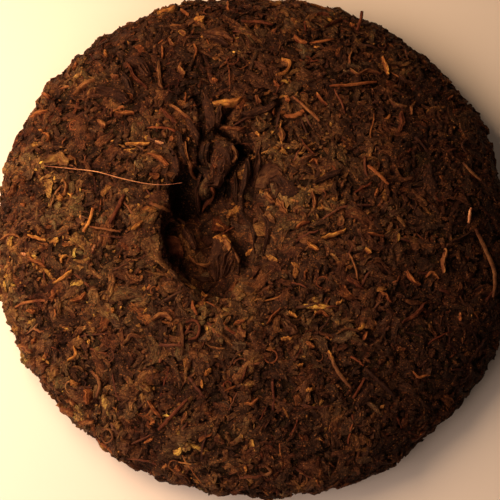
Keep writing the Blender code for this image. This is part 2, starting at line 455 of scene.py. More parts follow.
def make_piece(name, points, faces, colours, atlas, fibre):
    """One object from many pieces of one kind.

    points is (pieces, corners, 3), faces the triangles of one piece, colours (pieces, corners,
    3), atlas each face corner's place in one piece's own square of the bake map, and fibre
    each corner's distances along and across its piece in millimetres.
    """
    count, corners = points.shape[:2]
    triangles = (faces[None] + (np.arange(count) * corners)[:, None, None]).reshape(-1, 3)
    mesh = bpy.data.meshes.new(name)
    mesh.from_pydata(points.reshape(-1, 3).tolist(), [], triangles.tolist())
    add_tint(mesh, colours)
    squares = math.ceil(math.sqrt(count))
    origin = np.stack([np.arange(count) % squares, np.arange(count) // squares], axis=1)
    place = (origin[:, None, None] + 0.06 + 0.88 * atlas[None]) / squares
    add_map(mesh, "OFBake", place)
    add_map(mesh, "fibre", fibre.reshape(-1, 2)[triangles.ravel()])
    mesh.shade_smooth()
    mesh.set_sharp_from_angle(angle=math.radians(70))
    piece = bpy.data.objects.new(name, mesh)
    bpy.context.scene.collection.objects.link(piece)
    return piece


def painted_dip_shade(heights):
    """Colour factor for corners by their height over the skin: painted shade, dark where they dip."""
    return 0.18 + 0.88 * np.clip((heights + 0.75 * MM) / (0.85 * MM), 0, 1.05) ** 1.2


def painted_crevice_shade(heights, rises, ups, places):
    """Painted shade for corners where they dip and where the leaf is sunk, which falls faster at the rim and
    on the cake's left side.
    """
    steeper_shade_share = np.maximum(rim_share(ups), 0.6 * left_share(places))
    return (painted_dip_shade(heights) * painted_relief_shade(rises)) ** (1 + 0.7 * steeper_shade_share)


def drawn_at(places, along, across, x, y):
    """Where corners at x along and y across their pieces lie, before they follow the skin."""
    return places[:, None] + x[..., None] * along[:, None] + y[..., None] * across[:, None]


# ---------------------------------------------------------------- flakes

def sheet_template(rows, columns):
    """The triangles of a closed flake: a grid above and a plain strip under it. Also each
    face corner's place in the flake's square of the bake map."""
    faces, atlas = [], []
    u = np.repeat(np.linspace(0, 1, rows), columns)
    v = np.tile(np.linspace(0.3, 1, columns), rows)

    def add(a, b, c, under=False):
        faces.append((a, b, c))
        atlas.append([(u[k], v[k] if not under else 0.22 * (v[k] - 0.3) / 0.7) for k in (a, b, c)])

    for i in range(rows - 1):
        for j in range(columns - 1):
            a, b = i * columns + j, (i + 1) * columns + j
            add(a, b, b + 1)
            add(a, b + 1, a + 1)
        left, right = i * columns, i * columns + columns - 1
        add(left, right, right + columns, under=True)
        add(left, right + columns, left + columns, under=True)
    last = (rows - 1) * columns
    for j in range(1, columns - 1):
        add(0, j, j + 1)
        add(last, last + j + 1, last + j)
    return np.array(faces), np.array(atlas)


# Where a flake's corners next to its edge lie, from its middle at 0 to its edge at 1
INNER = 0.8


def flake_shapes(random, count, rows, columns, length, width, crumple, dip, scale):
    """Corners of flat flakes round the origin: along, across and height, as (count, corners).

    length and width are (least, most). The two long edges are uneven, the ends are torn or
    pointed, the face is crumpled and the outline dips into the cake by dip.
    """
    u = np.linspace(-1, 1, rows)
    v = np.linspace(-1, 1, columns)
    for steps in (u, v):
        steps[1], steps[-2] = -INNER, INNER
    u, v = np.meshgrid(u, v, indexing="ij")
    u, v = u[None], v[None]
    one = (count, 1, 1)
    long = random.uniform(*length, one) * scale[:, None, None]
    wide = random.uniform(*width, one) * scale[:, None, None]
    blunt = random.uniform(0.1, 0.75, one)
    taper = blunt + (1 - blunt) * np.sqrt(np.clip(1 - np.abs(u) ** random.uniform(1.4, 3.5, one), 0, 1))
    ragged = random.uniform(0.72, 1.2, (count, rows, 2))
    side = np.where(v < 0, ragged[:, :, :1], ragged[:, :, 1:])
    bend = random.normal(0, 0.16, one) * long
    wave = random.normal(0, 0.05, one) * long
    x = long / 2 * u + random.normal(0, 0.03, (count, rows, columns)) * long
    y = wide / 2 * v * taper * side + bend * (u * u - 0.4) + wave * np.sin(3 * u)
    z = np.zeros((count, rows, columns))
    for turns in (0.55, 1.1):
        ridge = turns * random.uniform(0.7, 1.3, one) * v + random.uniform(-0.7, 0.7, one) * u
        ridge = 2 * math.pi * ridge
        z += crumple * random.uniform(0.3, 1.0, one) * np.cos(ridge + random.uniform(0, 6.3, one))
    z += random.normal(0, crumple * 0.35, z.shape)
    curl = random.uniform(0, 1.1 * MM, one) * (random.random(one) < 0.3)
    z += curl * np.clip(v * random.choice([-1, 1], one) - 0.3, 0, 1) ** 1.5
    edge = (np.abs(u) > 0.99) | (np.abs(v) > 0.99)
    z -= dip * edge
    return [np.broadcast_to(values, z.shape).reshape(count, -1) for values in (x, y, z)]


def lay_flakes(name, random, spots, shape, lift, tilt, shares, proud=0.25 * MM):
    """Flakes bent onto the skin at the spots, each lifted and tilted a little, as one object.
    proud is about how far their highest corners stand out."""
    rows, columns, length, width, crumple, dip = shape
    places, normals = spots
    count = len(places)
    along, across = headings(random, places, normals)
    scale = 1 + 0.5 * down_the_dimple(places)
    x, y, z = flake_shapes(random, count, rows, columns, length, width, crumple, dip, scale)
    lifted = random.uniform(*lift, (count, 1))
    slope_along = np.tan(random.normal(0, tilt, (count, 1)))
    slope_across = np.tan(random.normal(0, tilt * 1.6, (count, 1)))
    z = z + lifted + x * slope_along + y * slope_across
    z = np.minimum(z, proud + 0.4 * lifted + 0.25 * np.maximum(z, 0))
    drawn = drawn_at(places, along, across, x, y)
    base, up = SKIN.nearest(drawn)
    flat = base + up * z[..., None]
    rises = relief(flat, up)
    points = pressed(flat + up * rises[..., None], random, normals)
    faces, atlas = sheet_template(rows, columns)
    # Painted shade where the flake's corners dip and where the leaf is sunk
    shade = painted_crevice_shade(z, rises, up, flat)
    colours = pick_colours(random, places, normals, shares)[:, None] * toned(shade)
    offset = random.uniform(*FIBRE_OFFSETS, (count, 1, 2))
    fibre = np.stack([x / MM, y / MM], axis=2) + offset
    return make_piece(name, points, faces, colours, atlas, fibre)


# ---------------------------------------------------------------- tubes

def tube_template(rings, sides):
    """The triangles of a closed tube of rings of corners, and their bake map places."""
    faces, atlas = [], []
    for i in range(rings - 1):
        for j in range(sides):
            k = (j + 1) % sides
            a, b, c, d = i * sides + j, (i + 1) * sides + j, (i + 1) * sides + k, i * sides + k
            left, right = i / (rings - 1), (i + 1) / (rings - 1)
            low, high = 0.15 + 0.85 * j / sides, 0.15 + 0.85 * (j + 1) / sides
            faces += [(a, c, b), (a, d, c)]
            atlas += [[(left, low), (right, high), (right, low)], [(left, low), (left, high), (right, high)]]
    for first, order in ((0, 1), ((rings - 1) * sides, -1)):
        for j in range(1, sides - 1):
            pair = (first + j, first + j + 1)[::order]
            faces.append((first, *pair))
            start = 0.0 if order > 0 else 0.5
            atlas.append([(start, 0), (start + 0.4, 0), (start + 0.2, 0.1)])
    return np.array(faces), np.array(atlas)


def tube_points(line, up, radii, flatness, twist):
    """Corners of tubes round center lines (pieces, rings, 3): radii is (pieces, rings, sides),
    flatness the height against the width, and twist the turn of each ring in radians."""
    sides = radii.shape[2]
    ahead = unit(np.gradient(line, axis=1))
    side = unit(np.cross(up, ahead))
    over = np.cross(ahead, side)
    angles = twist[..., None] + np.linspace(0, 2 * math.pi, sides, endpoint=False)
    out = (radii * np.cos(angles))[..., None] * side[:, :, None]
    rise = (radii * np.sin(angles) * flatness)[..., None] * over[:, :, None]
    return (line[:, :, None] + out + rise).reshape(len(line), -1, 3)


def lay_tubes(name, random, spots, rings, sides, line_of, radius_of, lift, stiff, flatness, shares):
    """Long pieces laid on the skin, as one object. line_of draws their centre lines and
    radius_of their thickness; stiff is how little they follow the skin, 0 to 1."""
    places, normals = spots
    count = len(places)
    along, across = headings(random, places, normals)
    x, y, z = line_of(random, count, rings)
    radii = radius_of(random, count, rings, sides)
    z = z + random.uniform(*lift, (count, 1))
    drawn = drawn_at(places, along, across, x, y)
    base, up = SKIN.nearest(drawn)
    base = base * (1 - stiff) + drawn * stiff
    line = base + up * z[..., None]
    twist = random.uniform(0, 6.3, (count, 1)) + random.normal(0, 1.2, (count, 1)) * np.linspace(0, 1, rings)
    points = tube_points(line, up, radii, flatness, twist)
    up = np.repeat(up, sides, axis=1)
    # Painted shade on corners that lie deep and where the leaf is sunk
    deep = ((points - np.repeat(base, sides, axis=1)) * up).sum(axis=2)
    rises = relief(points, up)
    shade = painted_crevice_shade(deep, rises, up, points)
    points = pressed(points + up * rises[..., None], random, normals)
    faces, atlas = tube_template(rings, sides)
    streaks = np.tile(random.uniform(0.7, 1.2, (count, sides)), (1, rings))
    colours = pick_colours(random, places, normals, shares)[:, None] * toned(shade * streaks)
    offset = random.uniform(*FIBRE_OFFSETS, (count, 1, 2))
    walked = np.repeat(x / MM, sides, axis=1)
    round_it = np.tile(np.linspace(0, 4, sides, endpoint=False), (count, rings))
    fibre = np.stack([walked, round_it], axis=2) + offset
    return make_piece(name, points, faces, colours, atlas, fibre)


def spindle(rings, blunt):
    """Thickness along a piece that tapers to both ends."""
    u = np.linspace(-1, 1, rings)
    return blunt + (1 - blunt) * np.sqrt(np.clip(1 - np.abs(u) ** 2.2, 0, 1))


def rolled_line(length, bend):
    def line_of(random, count, rings):
        u = np.linspace(-1, 1, rings)[None]
        long = random.uniform(*length, (count, 1))
        x = long / 2 * u
        y = random.normal(0, bend, (count, 1)) * long * (u * u - 0.3)
        y = y + random.normal(0, bend * 0.3, (count, 1)) * long * np.sin(3 * u)
        y = y + random.normal(0, 0.12 * MM, (count, rings))
        z = -0.45 * MM * np.abs(u) ** 3 + random.normal(0, 0.1 * MM, (count, rings))
        return x, y, z
    return line_of


def creased_radius(width, blunt, crease):
    """Radii of rolled leaves: tapered, with creases that run along them."""
    def radius_of(random, count, rings, sides):
        wide = random.uniform(*width, (count, 1, 1)) / 2
        taper = spindle(rings, blunt)[None, :, None]
        creases = random.uniform(1 - crease, 1, (count, 1, sides))
        return wide * taper * creases * random.uniform(0.86, 1.12, (count, rings, sides))
    return radius_of


def stem_radius(width):
    def radius_of(random, count, rings, sides):
        wide = random.uniform(*width, (count, 1, 1)) / 2
        return wide * random.uniform(0.88, 1.12, (count, rings, sides))
    return radius_of


def curl_line(random, count, rings):
    """Hooks and open rings, lying flat."""
    turn = random.uniform(2.2, 5.6, (count, 1))
    size = random.uniform(1.1, 2.6, (count, 1)) * MM
    angle = turn * np.linspace(-0.5, 0.5, rings)[None]
    spread = 1 + random.uniform(-0.25, 0.45, (count, 1)) * np.linspace(-1, 1, rings)[None]
    x = size * spread * np.cos(angle)
    y = size * spread * np.sin(angle)
    z = random.normal(0, 0.12 * MM, (count, 1)) * np.linspace(-1, 1, rings)[None]
    return x, y, z


# ---------------------------------------------------------------- crumbs

def lay_crumbs(name, random, spots, size, shares):
    """Small angular bits of leaf: flat eight-sided chips of uneven shape."""
    places, normals = spots
    count = len(places)
    along, across = headings(random, places, normals)
    axes = np.array([(1, 0, 0), (0, 1, 0), (-1, 0, 0), (0, -1, 0), (0, 0, 1), (0, 0, -1)], float)
    above = [(k, (k + 1) % 4, 4) for k in range(4)]
    below = [((k + 1) % 4, k, 5) for k in range(4)]
    starts = [(k % 4 / 4, k // 4 / 2) for k in range(8)]
    atlas = np.array([[(u, v), (u + 0.2, v), (u + 0.1, v + 0.4)] for u, v in starts])
    reach = random.uniform(*size, (count, 1, 1)) / 2
    reach = reach * random.uniform([1, 0.45, 0.22], [1.6, 1, 0.45], (count, 1, 3))
    local = axes * reach * random.uniform(0.6, 1.3, (count, 6, 1))
    local = local + random.normal(0, 0.08 * MM, (count, 6, 3))
    slopes = random.normal(0, 0.3, (count, 1, 2))
    heights = (local[..., :2] * slopes).sum(axis=2) + local[..., 2]
    local[..., 2] = heights + random.uniform(-0.3 * MM, 0.35 * MM, (count, 1))
    points = drawn_at(places, along, across, local[..., 0], local[..., 1])
    points = points + local[..., 2:] * normals[:, None]
    up = np.repeat(normals[:, None], 6, axis=1)
    rises = relief(points, up)
    # Painted shade where the leaf is sunk and on each crumb's lower corners
    shade = painted_relief_shade(rises) * np.clip(0.85 + heights / (0.8 * MM), 0.35, 1.3)
    points = pressed(points + up * rises[..., None], random, normals)
    colours = pick_colours(random, places, normals, shares)[:, None] * toned(shade)
    fibre = local[..., :2] / MM + random.uniform(*FIBRE_OFFSETS, (count, 1, 2))
    return make_piece(name, points, np.array(above + below), colours, atlas, fibre)


# ---------------------------------------------------------------- pieces placed one by one

# A leaf or a stem on the cake: its colour, its width, how high a leaf's back is (its crown), how
# far it lies over the skin, the widths of its two ends against the middle's, its route in
# millimetres, seen from above, and whether it keeps clear of the cracks and lumps under it.
Leaf = namedtuple("Leaf", "colour width crown lift ends route loose", defaults=[False])
Stem = namedtuple("Stem", "colour width lift ends route loose", defaults=[False])


def laid(kind, *rows):
    """Pieces of the kind, from rows with their widths, crowns and lifts in plain millimetres."""
    end = kind._fields.index("ends")
    return [kind(row[0], *mm(*row[1:end]), *row[end:]) for row in rows]


LEAVES = laid(
    Leaf,
    # Round the dimple's far side
    ("brown", 3.2, 0.9, 0.5, (0.4, 0.3), ((-33, 28), (-30, 22), (-29, 18), (-31, 13), (-34, 7))),
    ("tan", 1.8, 0.8, 0.7, (0.5, 0.5), ((-27, 30), (-26, 24), (-24, 20), (-22, 17))),
    ("brown", 3.6, 1.1, 0.6, (0.5, 0.4), ((-26, 39), (-23, 33), (-21, 29), (-21, 25))),
    ("dark", 3.0, 0.9, 0.6, (0.4, 0.4), ((-30, 34), (-28, 28), (-26, 23))),
    ("orange", 2.4, 0.6, 0.7, (0.3, 0.5), ((-41, 25), (-37, 24), (-33, 21))),
    ("red", 2.0, 0.6, 0.7, (0.3, 0.3), ((-36, 43), (-33, 40), (-30, 37))),
    ("tan", 1.4, 0.6, 0.7, (0.5, 0.4), ((-33, 45), (-29, 42), (-26, 39), (-24, 37))),
    ("brown", 4.0, 1.0, 0.5, (0.4, 0.4), ((-20, 49), (-18, 42), (-18, 35))),
    ("brown", 3.4, 1.0, 0.5, (0.4, 0.4), ((-14, 45), (-15, 39), (-16, 35))),
    ("brown", 3.4, 0.9, 0.6, (0.4, 0.3), ((-6, 41), (1, 43), (8, 47))),
    ("gold", 3.2, 0.6, 0.9, (0.4, 0.2), ((-17, 45), (-13, 46), (-9, 46), (-6, 48))),
    ("tan", 1.8, 0.5, 0.9, (0.4, 0.4), ((-14, 37), (-10, 36), (-5, 36))),
    # The hanging fold, and the strands from its tip
    ("brown", 7.0, 0.9, 1.6, (0.8, 0.15), ((-11, 30), (-12, 25), (-14, 20), (-17, 15)), True),
    ("brown", 3.4, 0.8, 2.0, (0.5, 0.3), ((-15, 29), (-12, 26), (-12, 22), (-14, 18)), True),
    ("umber", 2.0, 0.6, 2.4, (0.4, 0.3), ((-10, 29), (-9, 26), (-11, 24)), True),
    ("dark", 3.6, 0.9, 1.6, (0.5, 0.2), ((-20, 30), (-20, 25), (-18, 20), (-17, 16)), True),
    ("red", 1.1, 0.6, 1.4, (0.8, 0.5), ((-17, 16), (-17, 13), (-19, 11), (-20, 8)), True),
    ("brown", 2.4, 0.8, 0.6, (0.6, 0.5), ((-21, 20), (-22, 15), (-22, 12), (-21, 8)), True),
    # The dimple's floor: its left side, the ledge in front, and the ribbed lobe
    ("brown", 5.0, 1.4, 0.8, (0.4, 0.3), ((-30, 6), (-27, 1), (-24, -4), (-22, -8))),
    ("red", 4.6, 1.2, 0.7, (0.4, 0.3), ((-32, -2), (-31, -7), (-28, -11))),
    ("tan", 1.8, 0.8, 0.7, (0.5, 0.3), ((-26, -8), (-23, -12), (-18, -13), (-15, -10))),
    ("brown", 4.4, 1.0, 0.4, (0.4, 0.3), ((-25, -16), (-21, -18), (-16, -19))),
    ("brown", 7.5, 1.0, 0.6, (0.5, 0.4), ((-13, -3), (-15, -8), (-15, -13), (-14, -19))),
    ("brown", 5.5, 1.0, 0.8, (0.5, 0.4), ((-9, -7), (-11, -12), (-12, -18))),
    ("gold", 2.0, 0.6, 1.1, (0.5, 0.4), ((-16, -2), (-14, -3), (-12, -5))),
    ("gold", 1.5, 0.5, 1.2, (0.4, 0.5), ((-14, -2), (-12, -3), (-10, -6))),
    ("tan", 2.2, 0.6, 1.1, (0.4, 0.4), ((-12, -4), (-10, -7), (-9, -10))),
    ("umber", 2.2, 0.6, 1.1, (0.5, 0.3), ((-9, -7), (-7, -10), (-6, -13))),
    ("gold", 1.8, 0.6, 0.8, (0.5, 0.4), ((-15, 3), (-12, 1))),
    # Its right wall
    ("dark", 3.2, 1.1, 0.5, (0.4, 0.3), ((-4, 28), (-4, 20), (-5, 14), (-4, 8))),
    ("dark", 2.4, 0.9, 0.5, (0.4, 0.3), ((-8, 20), (-8, 15), (-7, 10), (-6, 6))),
    ("brown", 2.6, 0.6, 0.5, (0.5, 0.3), ((1, 29), (0, 24), (-1, 19), (-1, 14))),
    ("dark", 3.0, 1.0, 0.5, (0.3, 0.3), ((-4, 9), (-1, 3), (0, -3), (0, -10))),
    ("brown", 2.4, 0.8, 0.5, (0.3, 0.3), ((1, 8), (4, 2), (4, -5), (3, -11))),
    ("brown", 2.2, 0.8, 0.6, (0.4, 0.4), ((-13, 13), (-10, 10), (-7, 11))),
    ("grey", 8.0, 0.4, 0.5, (0.4, 0.4), ((-2, 15), (3, 19), (9, 20))),
    ("brown", 7.0, 0.4, 0.3, (0.4, 0.4), ((6, 18), (11, 14), (15, 12))),
    ("tan", 1.6, 0.5, 0.8, (0.5, 0.4), ((-9, 7), (-7, 9))),
    ("gold", 1.6, 0.5, 0.8, (0.5, 0.4), ((-4, -9), (-1, -7))),
    ("gold", 2.0, 0.6, 0.8, (0.5, 0.4), ((-21, -27), (-18, -28))),
    ("tan", 2.6, 0.5, 0.6, (0.4, 0.3), ((3, 13), (5, 10), (7, 9))),
    ("tan", 3.0, 0.4, 0.5, (0.3, 0.3), ((7, 10), (9, 7), (11, 4))),
    ("gold", 2.2, 0.5, 0.8, (0.4, 0.4), ((18, -7), (22, -11))),
    # Far side of the cake
    ("gold", 1.6, 0.6, 0.8, (0.4, 0.5), ((9, 65), (12, 64), (11, 60), (7, 58))),
    ("gold", 1.5, 0.6, 0.8, (0.4, 0.6), ((50, 61), (49, 65), (48, 69))),
    ("gold", 2.8, 0.6, 0.7, (0.4, 0.3), ((-38, 87), (-34, 89), (-31, 90))),
    ("tan", 2.2, 0.7, 0.8, (0.4, 0.4), ((-29, 63), (-29, 60), (-27, 58))),
    ("red", 1.8, 0.7, 0.8, (0.4, 0.3), ((-49, 63), (-46, 57), (-41, 52))),
    ("dark", 4.0, 0.8, 0.4, (0.4, 0.3), ((-52, 61), (-49, 55), (-46, 49))),
    # Left side
    ("olive", 5.2, 0.6, 0.6, (0.4, 0.3), ((-79, 24), (-74, 25), (-69, 22))),
    ("tan", 1.3, 0.5, 0.7, (0.4, 0.4), ((-71, 16), (-70, 12), (-72, 8))),
    ("pale", 1.3, 0.6, 0.7, (0.5, 0.5), ((-59, -10), (-60, -13))),
    ("gold", 1.5, 0.6, 0.8, (0.4, 0.4), ((-68, -51), (-65, -49), (-66, -46))),
    # Right side
    ("red", 2.3, 0.6, 0.7, (0.4, 0.4), ((53, 36), (54, 40), (54, 45))),
    ("tan", 2.1, 0.8, 0.8, (0.5, 0.3), ((69, -9), (68, -14), (68, -18))),
    ("gold", 1.7, 0.6, 0.8, (0.3, 0.5), ((23, -6), (27, -5), (32, -3))),
    ("orange", 1.9, 0.7, 0.8, (0.5, 0.4), ((54, -18), (56, -21), (59, -23))),
    ("red", 2.1, 0.7, 0.8, (0.5, 0.4), ((32, -21), (35, -23), (38, -25))),
    ("red", 1.7, 0.6, 0.8, (0.4, 0.4), ((61, -29), (57, -34), (52, -37))),
    ("umber", 1.6, 0.6, 0.8, (0.4, 0.4), ((18, -63), (18, -67))),
    ("red", 2.0, 0.3, 1.3, (0.6, 0.4), ((-95, -16), (-96, -21), (-96, -27)), True),
)

STEMS = laid(
    Stem,
    ("fibre", 0.36, 1.0, (0.8, 0.5),
     ((-79, 22), (-69, 20), (-59, 18), (-50, 15), (-34, 13), (-28, 14)), True),
    ("red", 0.8, 0.9, (0.8, 0.8), ((-13, -3), (-11, 0), (-8, 2))),
    ("orange", 1.2, 0.8, (0.7, 0.7), ((27, 54), (36, 55), (45, 57))),
    ("tan", 1.3, 0.9, (0.8, 0.8), ((13, 49), (18, 44), (23, 39))),
    ("orange", 1.9, 0.7, (0.6, 0.9), ((10, 41), (14, 41), (17, 43))),
    ("orange", 1.5, 0.9, (0.9, 0.6), ((41, 22), (44, 19), (48, 15))),
    ("pale", 1.1, 0.8, (0.7, 0.7), ((79, 8), (78, 2))),
    ("umber", 1.8, 0.6, (0.8, 0.6), ((81, 0), (84, -6), (87, -13), (88, -18), (87, -25))),
    ("brown", 0.5, 0.8, (0.8, 0.8), ((73, -5), (70, -7), (68, -10))),
    ("tan", 0.8, 0.8, (0.7, 0.5), ((33, -12), (35, -17), (36, -22))),
    ("brown", 0.9, 0.8, (0.7, 0.7), ((81, 37), (78, 35), (77, 33), (79, 30))),
    ("umber", 1.2, 0.7, (0.8, 0.8), ((77, 26), (80, 23), (84, 20))),
    ("red", 1.3, 0.4, (1.0, 1.0), ((39, 81), (40.5, 86), (41, 89.2)), True),
    ("red", 1.4, 0.7, (0.8, 0.8), ((-35, -76), (-30, -71), (-25, -66))),
    ("gold", 1.4, 0.8, (0.8, 0.8), ((-63, -5), (-61, -1), (-60, 4))),
    ("tan", 1.0, 0.8, (0.7, 0.7), ((-61, -3), (-56, -4), (-50, -5))),
    ("red", 1.7, 0.6, (0.8, 0.7), ((-54, -2), (-51, 4), (-49, 9))),
    ("tan", 1.5, 0.7, (0.9, 0.8), ((-40, 6), (-36, 5), (-33, 5))),
    ("red", 1.4, 0.8, (0.7, 0.7), ((-6, 82), (0, 82), (6, 81))),
    ("orange", 1.2, 0.7, (0.6, 0.6), ((20, 73), (25, 74), (29, 75))),
    ("dark", 1.6, 0.7, (0.7, 0.7), ((38, -54), (43, -58), (49, -63))),
    ("umber", 1.6, 0.7, (0.7, 0.7), ((25, -49), (29, -56), (33, -61))),
    ("umber", 1.3, 0.7, (0.6, 0.6), ((1, -90), (3, -91), (5, -90), (3, -88))),
    ("red", 1.0, 0.7, (0.7, 0.7), ((-26, -39), (-23, -38), (-21, -41), (-22, -44), (-25, -45))),
    ("umber", 0.9, 0.7, (0.7, 0.7), ((-55, -75), (-52, -75), (-51, -78), (-53, -79), (-55, -77))),
    ("umber", 1.2, 0.9, (0.8, 0.8), ((-58, -56), (-56, -60), (-57, -64))),
    ("tan", 0.9, 0.9, (0.8, 0.8), ((-59, -55), (-56, -58))),
)

# More leaves and bright bits of leaf, by colour: each one's width and its route in millimetres,
# from its brighter end
BITS = {
    "pale": (
        (1.3, (-86, -11), (-84, -12)), (1.3, (-38, 30), (-35, 29)),
    ),
    "gold": (
        (1.5, (-58, 71), (-57, 68)), (2.2, (-24, 83), (-20, 84)), (1.3, (-40, 29), (-45, 29), (-49, 29)),
        (1.0, (-82, 38), (-80, 37)), (2.4, (-73, 8), (-71, 9)), (1.5, (-84, -4), (-80, -6), (-77, -7)),
        (1.4, (-71, -16), (-71, -14), (-69, -13)), (2.0, (-46, -4), (-42, -1)),
        (1.7, (-67, -19), (-70, -21), (-74, -23)), (1.6, (-52, -33), (-52, -35)),
        (1.8, (-17, -55), (-19, -58)), (1.2, (-20, -62), (-20, -59)), (1.5, (-4, -88), (-4, -90)),
        (1.7, (-1, 35), (1, 33)), (1.8, (39, -10), (41, -12)), (1.5, (28, -31), (30, -30)),
        (1.6, (11, -34), (14, -36)), (1.5, (12, -44), (8, -44)), (1.4, (25, -48), (26, -50), (27, -52)),
        (1.4, (14, -54), (16, -53)), (1.8, (17, -62), (19, -62)),
    ),
    "orange": (
        (1.6, (-68, 66), (-69, 62)), (1.5, (-53, 42), (-46, 42)), (1.8, (-32, 32), (-32, 30)),
        (1.0, (-29, 89), (-26, 86)), (1.3, (-11, 94), (-11, 88)), (1.1, (-36, 71), (-36, 65)),
        (1.1, (-24, 71), (-23, 68), (-24, 65)), (1.6, (-17, 56), (-15, 55)), (1.0, (-27, 50), (-27, 46)),
        (1.5, (-85, 44), (-81, 45), (-78, 45)), (1.2, (-80, 36), (-78, 35), (-78, 32)),
        (1.8, (-87, 8), (-85, 7)), (1.8, (-80, 54), (-78, 51)), (1.6, (-83, -13), (-80, -15), (-77, -17)),
        (2.0, (-62, -27), (-64, -29), (-67, -30)), (1.5, (-73, -27), (-75, -29)),
        (1.8, (-83, -32), (-80, -33)), (1.7, (-80, -42), (-81, -44)), (3.4, (-61, -61), (-60, -66)),
        (1.6, (-39, -66), (-37, -69), (-34, -72)), (1.8, (-38, -74), (-36, -73)),
        (1.6, (-24, -31), (-22, -36)), (1.6, (-20, -25), (-19, -29)), (1.8, (-9, -39), (-5, -38)),
        (1.0, (-8, -61), (-12, -63)), (1.6, (-29, -88), (-27, -89)), (1.3, (-5, -67), (-2, -67), (0, -65)),
        (1.3, (-40, -80), (-37, -79)), (1.3, (6, 56), (8, 53)), (1.8, (14, 76), (16, 74), (19, 73)),
        (1.5, (36, 84), (38, 83)), (1.2, (22, 51), (24, 48), (26, 46)), (2.0, (10, 49), (12, 47)),
        (1.3, (6, 44), (6, 42)), (1.2, (75, 55), (73, 53)), (1.4, (19, 23), (21, 24), (22, 22)),
        (1.4, (44, 13), (43, 10)), (1.5, (14, -2), (17, 0), (19, 0)), (1.0, (40, -4), (46, -5)),
        (1.1, (18, -18), (17, -20), (17, -22)), (1.2, (61, -20), (63, -18), (66, -20)),
        (1.2, (44, -26), (46, -27), (48, -30)), (1.5, (20, -35), (23, -34), (25, -36)),
        (1.4, (8, -33), (5, -36), (3, -39)), (2.0, (17, -45), (20, -47)), (1.5, (39, -41), (38, -44)),
        (1.0, (56, -54), (58, -56), (62, -55)), (1.2, (74, -32), (74, -35)), (1.2, (21, -92), (23, -94)),
    ),
    "tan": (
        (1.8, (-61, 57), (-65, 55), (-69, 51)), (1.5, (-29, 78), (-27, 76)), (1.6, (-34, 75), (-32, 71)),
        (2.4, (-55, 58), (-52, 57)), (2.6, (-59, 39), (-56, 36)), (1.6, (-90, 17), (-92, 12)),
        (1.4, (-94, -4), (-90, -3), (-87, -5)), (1.8, (-86, -43), (-81, -47)),
        (1.6, (-68, -64), (-65, -66)), (1.8, (-72, -65), (-69, -67), (-65, -69)),
        (1.8, (-58, -72), (-60, -72), (-63, -71)), (2.0, (-25, -70), (-27, -74)),
        (2.4, (-31, -38), (-33, -36), (-35, -36), (-38, -38)), (2.6, (-7, -40), (-5, -44)),
        (1.0, (-12, -48), (-15, -48), (-18, -47)), (2.2, (-1, 49), (1, 46)), (2.4, (8, 36), (9, 34), (9, 31)),
        (0.9, (36, 70), (35, 67), (35, 64)), (1.3, (35, 62), (38, 60), (42, 62), (47, 61)),
        (1.3, (60, 50), (58, 47), (58, 44)), (2.0, (20, 12), (21, 8), (21, 5)), (2.4, (50, -47), (53, -46)),
    ),
    "olive": (
        (2.0, (-71, -30), (-71, -35)), (4.0, (-73, -56), (-71, -53)), (3.0, (-50, -72), (-49, -75)),
        (3.0, (-41, -60), (-38, -63)),
    ),
    "umber": (
        (3.4, (-20, 77), (-15, 76), (-9, 73)), (2.0, (-37, 64), (-37, 58), (-36, 52)),
        (4.0, (-82, -49), (-79, -52)), (3.4, (-78, -50), (-76, -54)),
        (2.0, (-48, -46), (-45, -43), (-41, -44)), (2.0, (-28, -39), (-27, -44), (-27, -48)),
        (1.5, (28, -42), (32, -40), (36, -41)), (1.5, (50, 50), (52, 48), (56, 47)),
    ),
    "red": (
        (1.5, (23, 87), (25, 88), (28, 87)), (1.2, (33, 86), (29, 83), (26, 81)),
        (0.9, (16, 32), (18, 29), (21, 26)), (0.9, (-4, -54), (-6, -60)),
    ),
    "grey": ((5.0, (-47, -79), (-46, -83)), (4.2, (9, -38), (14, -42))),
    "brown": (
        (6.0, (-49, 66), (-44, 62), (-41, 57)), (5.0, (-60, 52), (-53, 50), (-48, 46)),
        (2.4, (-21, 76), (-16, 74), (-11, 71)), (1.4, (54, 61), (57, 59), (60, 58)),
        (2.6, (21, 15), (26, 18), (31, 20)), (1.0, (79, -1), (75, -4), (71, -6)),
    ),
}


def bit_leaf(colour, width, *route):
    """A bit of leaf of the width given in millimetres: wider bits are thicker and lie lower."""
    crown = min(0.3 + 0.25 * width, 1.2)
    return Leaf(colour, *mm(width, crown, 0.65 - 0.03 * width), (0.5, 0.4), route)


LEAVES += [bit_leaf(colour, *bit) for colour, bits in BITS.items() for bit in bits]


def route_line(route, rows):
    """Points on a smooth curve through the route's stops, seen from above."""
    stops = np.array(route) * MM
    steps = np.linalg.norm(np.diff(stops, axis=0), axis=1)
    places = np.r_[0, np.cumsum(steps)]
    slopes = np.gradient(stops, places, axis=0)
    at = np.linspace(0, places[-1], rows)
    i = np.clip(np.searchsorted(places, at, "right") - 1, 0, len(steps) - 1)
    t = ((at - places[i]) / steps[i])[:, None]
    run = steps[i][:, None]
    start = (1 + 2 * t) * (1 - t) ** 2 * stops[i] + t * (1 - t) ** 2 * run * slopes[i]
    return start + t * t * (3 - 2 * t) * stops[i + 1] + t * t * (t - 1) * run * slopes[i + 1]


def end_taper(ends, rows):
    """Width along a piece against its middle's, from one end's share to the other's."""
    u = np.linspace(0, 1, rows)
    first = np.sin(np.clip(u / 0.4, 0, 1) * math.pi / 2)
    last = np.sin(np.clip((1 - u) / 0.4, 0, 1) * math.pi / 2)
    return (ends[0] + (1 - ends[0]) * first) * (ends[1] + (1 - ends[1]) * last)


